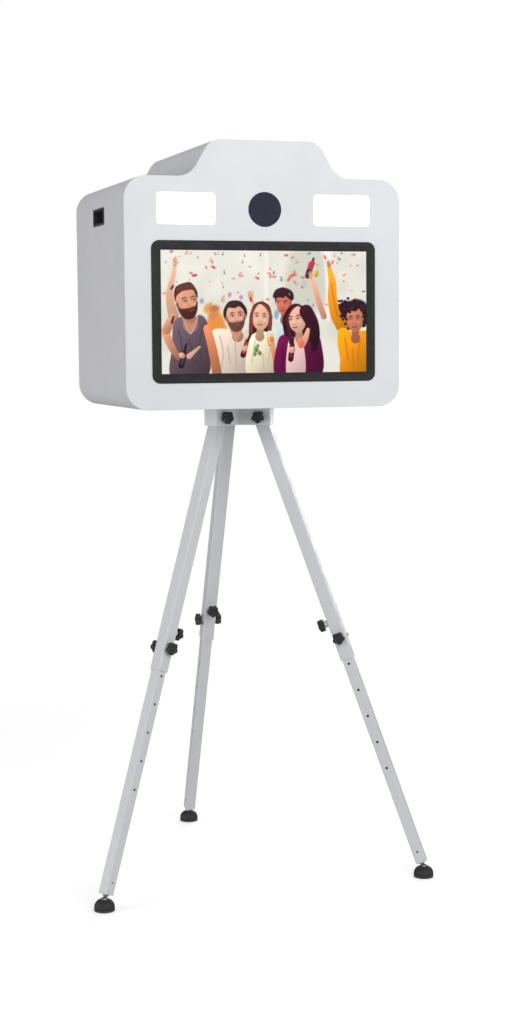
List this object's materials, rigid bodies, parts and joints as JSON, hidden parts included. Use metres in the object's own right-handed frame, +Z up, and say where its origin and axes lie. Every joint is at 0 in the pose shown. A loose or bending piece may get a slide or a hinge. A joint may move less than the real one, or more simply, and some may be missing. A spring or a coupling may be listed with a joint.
{
  "type": "photo booth",
  "caption": "Touch-screen photo booth: a crowned sheet-metal case with a camera window and light windows, on a folding tripod with telescopic square legs.",
  "frame": {"origin": "centre of the footprint of the three foot pads, on the floor", "axes": "+Z up, the front with the screen faces -Y, +X to the right of someone facing the screen"},
  "size_m": [0.8124, 0.7098, 1.6909],
  "materials": {
    "case_paint": "fine-textured pale grey powder coat",
    "front_paint": "smooth satin pale grey powder coat",
    "leg_paint": "satin light grey powder coat",
    "head_paint": "satin light grey powder coat",
    "bezel_black": "matt black",
    "moulded_black": "fine-grained black",
    "knob_black": "satin black",
    "plug_grey": "mid grey",
    "foot_rubber": "matt black",
    "stud_steel": "dark phosphate",
    "zinc_steel": "bright zinc",
    "tray_steel": "plain",
    "opal_acrylic": "translucent opal, lit from behind",
    "board_white": "white circuit board",
    "tinted_glass": "smoked",
    "camera_black": "leather-grained black",
    "lens_black": "black anodised",
    "screen_picture": "lit display behind clear glass",
    "display_metal": "plain",
    "computer_shell": "anodised dark grey",
    "supply_shell": "black",
    "lead_rubber": "black",
    "rocker_red": "gloss",
    "fan_plastic": "black"
  },
  "bodies": {
    "booth_case": {"housing_wrap": "case_paint", "front_panel": "front_paint", "rear_frame": "case_paint", "hinge_leaf_frame": "zinc_steel", "hinge_pins": "zinc_steel", "grip_pocket_left": "moulded_black", "grip_pocket_right": "moulded_black", "light_diffusers": "opal_acrylic", "light_boards": "board_white", "camera_window": "tinted_glass", "camera_body": "camera_black", "camera_lens": "lens_black", "camera_bracket": "zinc_steel", "screen_bezel": "bezel_black", "touch_glass": "screen_picture", "display_panel": "display_metal", "screen_clamps": "zinc_steel", "equipment_tray": "tray_steel", "computer": "computer_shell", "power_supply": "supply_shell", "wiring": "lead_rubber", "power_inlet": "moulded_black", "fan_frame": "moulded_black", "fan_guard": "zinc_steel", "case_screws": "zinc_steel", "tripod_head": "head_paint", "head_bolts": "zinc_steel"},
    "rear_door": {"rear_door": "case_paint", "hinge_leaf_door": "zinc_steel", "lock_barrel": "zinc_steel"},
    "lock_cam": {"lock_cam": "zinc_steel"},
    "power_rocker": {"power_rocker": "rocker_red"},
    "fan_rotor": {"fan_rotor": "fan_plastic"},
    "leg_upper_front_left": {"upper_tube_front_left": "leg_paint"},
    "leg_lower_front_left": {"lower_tube_front_left": "leg_paint", "end_plug_front_left": "plug_grey"},
    "stud_front_left": {"foot_stud_front_left": "stud_steel"},
    "pad_front_left": {"foot_pad_front_left": "foot_rubber"},
    "pivot_knob_front_left": {"pivot_knob_front_left": "knob_black"},
    "clamp_knob_side_a_front_left": {"clamp_knob_side_a_front_left": "knob_black"},
    "clamp_knob_side_b_front_left": {"clamp_knob_side_b_front_left": "knob_black"},
    "clamp_knob_inner_front_left": {"clamp_knob_inner_front_left": "knob_black"},
    "leg_upper_front_right": {"upper_tube_front_right": "leg_paint"},
    "leg_lower_front_right": {"lower_tube_front_right": "leg_paint", "end_plug_front_right": "plug_grey"},
    "stud_front_right": {"foot_stud_front_right": "stud_steel"},
    "pad_front_right": {"foot_pad_front_right": "foot_rubber"},
    "pivot_knob_front_right": {"pivot_knob_front_right": "knob_black"},
    "clamp_knob_side_a_front_right": {"clamp_knob_side_a_front_right": "knob_black"},
    "clamp_knob_side_b_front_right": {"clamp_knob_side_b_front_right": "knob_black"},
    "clamp_knob_inner_front_right": {"clamp_knob_inner_front_right": "knob_black"},
    "leg_upper_rear": {"upper_tube_rear": "leg_paint"},
    "leg_lower_rear": {"lower_tube_rear": "leg_paint", "end_plug_rear": "plug_grey"},
    "stud_rear": {"foot_stud_rear": "stud_steel"},
    "pad_rear": {"foot_pad_rear": "foot_rubber"},
    "pivot_knob_rear": {"pivot_knob_rear": "knob_black"},
    "clamp_knob_side_a_rear": {"clamp_knob_side_a_rear": "knob_black"},
    "clamp_knob_side_b_rear": {"clamp_knob_side_b_rear": "knob_black"},
    "clamp_knob_inner_rear": {"clamp_knob_inner_rear": "knob_black"}
  },
  "joints": [
    {"name": "door_hinge", "type": "hinge", "parent": "booth_case", "child": "rear_door", "pos_m": [0.222, 0.13937, 1.33093], "axis": [0, 0, -1], "range_deg": [0, 110]},
    {"name": "lock_turn", "type": "hinge", "parent": "rear_door", "child": "lock_cam", "pos_m": [-0.2, 0.13537, 1.33093], "axis": [0, 1, 0], "range_deg": [0, 90]},
    {"name": "power_rock", "type": "hinge", "parent": "booth_case", "child": "power_rocker", "pos_m": [-0.266, 0.13437, 1.18893], "axis": [1, 0, 0], "range_deg": [-16, 0]},
    {"name": "fan_spin", "type": "hinge", "parent": "booth_case", "child": "fan_rotor", "pos_m": [0, 0.12337, 1.55293], "axis": [0, 1, 0], "continuous": true},
    {"name": "fold_front_left", "type": "hinge", "parent": "booth_case", "child": "leg_upper_front_left", "pos_m": [-0.05066, -0.13987, 1.07853], "axis": [0.5, -0.866, 0], "range_deg": [0, 20]},
    {"name": "extend_front_left", "type": "slide", "parent": "leg_upper_front_left", "child": "leg_lower_front_left", "axis": [0.2962, 0.171, 0.9397], "range_m": [0, 0.325]},
    {"name": "level_front_left", "type": "slide", "parent": "leg_lower_front_left", "child": "stud_front_left", "axis": [-0.2962, -0.171, -0.9397], "range_m": [0, 0.02]},
    {"name": "pad_tilt_front_left", "type": "hinge", "parent": "stud_front_left", "child": "pad_front_left", "pos_m": [-0.38322, -0.33187, 0.0235], "axis": [0.5, -0.866, 0], "range_deg": [-45, 5]},
    {"name": "turn_pivot_knob_front_left", "type": "hinge", "parent": "booth_case", "child": "pivot_knob_front_left", "pos_m": [-0.05066, -0.13987, 1.07853], "axis": [0.5, -0.866, 0], "continuous": true},
    {"name": "turn_clamp_knob_side_a_front_left", "type": "hinge", "parent": "leg_upper_front_left", "child": "clamp_knob_side_a_front_left", "pos_m": [-0.21305, -0.23363, 0.56335], "axis": [0.5, -0.866, 0], "continuous": true},
    {"name": "turn_clamp_knob_side_b_front_left", "type": "hinge", "parent": "leg_upper_front_left", "child": "clamp_knob_side_b_front_left", "pos_m": [-0.21305, -0.23363, 0.56335], "axis": [-0.5, 0.866, 0], "continuous": true},
    {"name": "turn_clamp_knob_inner_front_left", "type": "hinge", "parent": "leg_upper_front_left", "child": "clamp_knob_inner_front_left", "pos_m": [-0.2015, -0.22696, 0.6], "axis": [0.8138, 0.4698, -0.342], "continuous": true},
    {"name": "fold_front_right", "type": "hinge", "parent": "booth_case", "child": "leg_upper_front_right", "pos_m": [0.05066, -0.13987, 1.07853], "axis": [0.5, 0.866, 0], "range_deg": [0, 20]},
    {"name": "extend_front_right", "type": "slide", "parent": "leg_upper_front_right", "child": "leg_lower_front_right", "axis": [-0.2962, 0.171, 0.9397], "range_m": [0, 0.325]},
    {"name": "level_front_right", "type": "slide", "parent": "leg_lower_front_right", "child": "stud_front_right", "axis": [0.2962, -0.171, -0.9397], "range_m": [0, 0.02]},
    {"name": "pad_tilt_front_right", "type": "hinge", "parent": "stud_front_right", "child": "pad_front_right", "pos_m": [0.38322, -0.33187, 0.0235], "axis": [0.5, 0.866, 0], "range_deg": [-45, 5]},
    {"name": "turn_pivot_knob_front_right", "type": "hinge", "parent": "booth_case", "child": "pivot_knob_front_right", "pos_m": [0.05066, -0.13987, 1.07853], "axis": [-0.5, -0.866, 0], "continuous": true},
    {"name": "turn_clamp_knob_side_a_front_right", "type": "hinge", "parent": "leg_upper_front_right", "child": "clamp_knob_side_a_front_right", "pos_m": [0.21305, -0.23363, 0.56335], "axis": [0.5, 0.866, 0], "continuous": true},
    {"name": "turn_clamp_knob_side_b_front_right", "type": "hinge", "parent": "leg_upper_front_right", "child": "clamp_knob_side_b_front_right", "pos_m": [0.21305, -0.23363, 0.56335], "axis": [-0.5, -0.866, 0], "continuous": true},
    {"name": "turn_clamp_knob_inner_front_right", "type": "hinge", "parent": "leg_upper_front_right", "child": "clamp_knob_inner_front_right", "pos_m": [0.2015, -0.22696, 0.6], "axis": [-0.8138, 0.4698, -0.342], "continuous": true},
    {"name": "fold_rear", "type": "hinge", "parent": "booth_case", "child": "leg_upper_rear", "pos_m": [0, -0.05212, 1.07853], "axis": [-1, 0, 0], "range_deg": [0, 20]},
    {"name": "extend_rear", "type": "slide", "parent": "leg_upper_rear", "child": "leg_lower_rear", "axis": [0, -0.342, 0.9397], "range_m": [0, 0.325]},
    {"name": "level_rear", "type": "slide", "parent": "leg_lower_rear", "child": "stud_rear", "axis": [0, 0.342, -0.9397], "range_m": [0, 0.02]},
    {"name": "pad_tilt_rear", "type": "hinge", "parent": "stud_rear", "child": "pad_rear", "pos_m": [0, 0.33187, 0.0235], "axis": [-1, 0, 0], "range_deg": [-45, 5]},
    {"name": "turn_pivot_knob_rear", "type": "hinge", "parent": "booth_case", "child": "pivot_knob_rear", "pos_m": [0, -0.05212, 1.07853], "axis": [-1, 0, 0], "continuous": true},
    {"name": "turn_clamp_knob_side_a_rear", "type": "hinge", "parent": "leg_upper_rear", "child": "clamp_knob_side_a_rear", "pos_m": [0, 0.13538, 0.56335], "axis": [-1, 0, 0], "continuous": true},
    {"name": "turn_clamp_knob_side_b_rear", "type": "hinge", "parent": "leg_upper_rear", "child": "clamp_knob_side_b_rear", "pos_m": [0, 0.13538, 0.56335], "axis": [1, 0, 0], "continuous": true},
    {"name": "turn_clamp_knob_inner_rear", "type": "hinge", "parent": "leg_upper_rear", "child": "clamp_knob_inner_rear", "pos_m": [0, 0.12205, 0.6], "axis": [0, -0.9397, -0.342], "continuous": true}
  ]
}
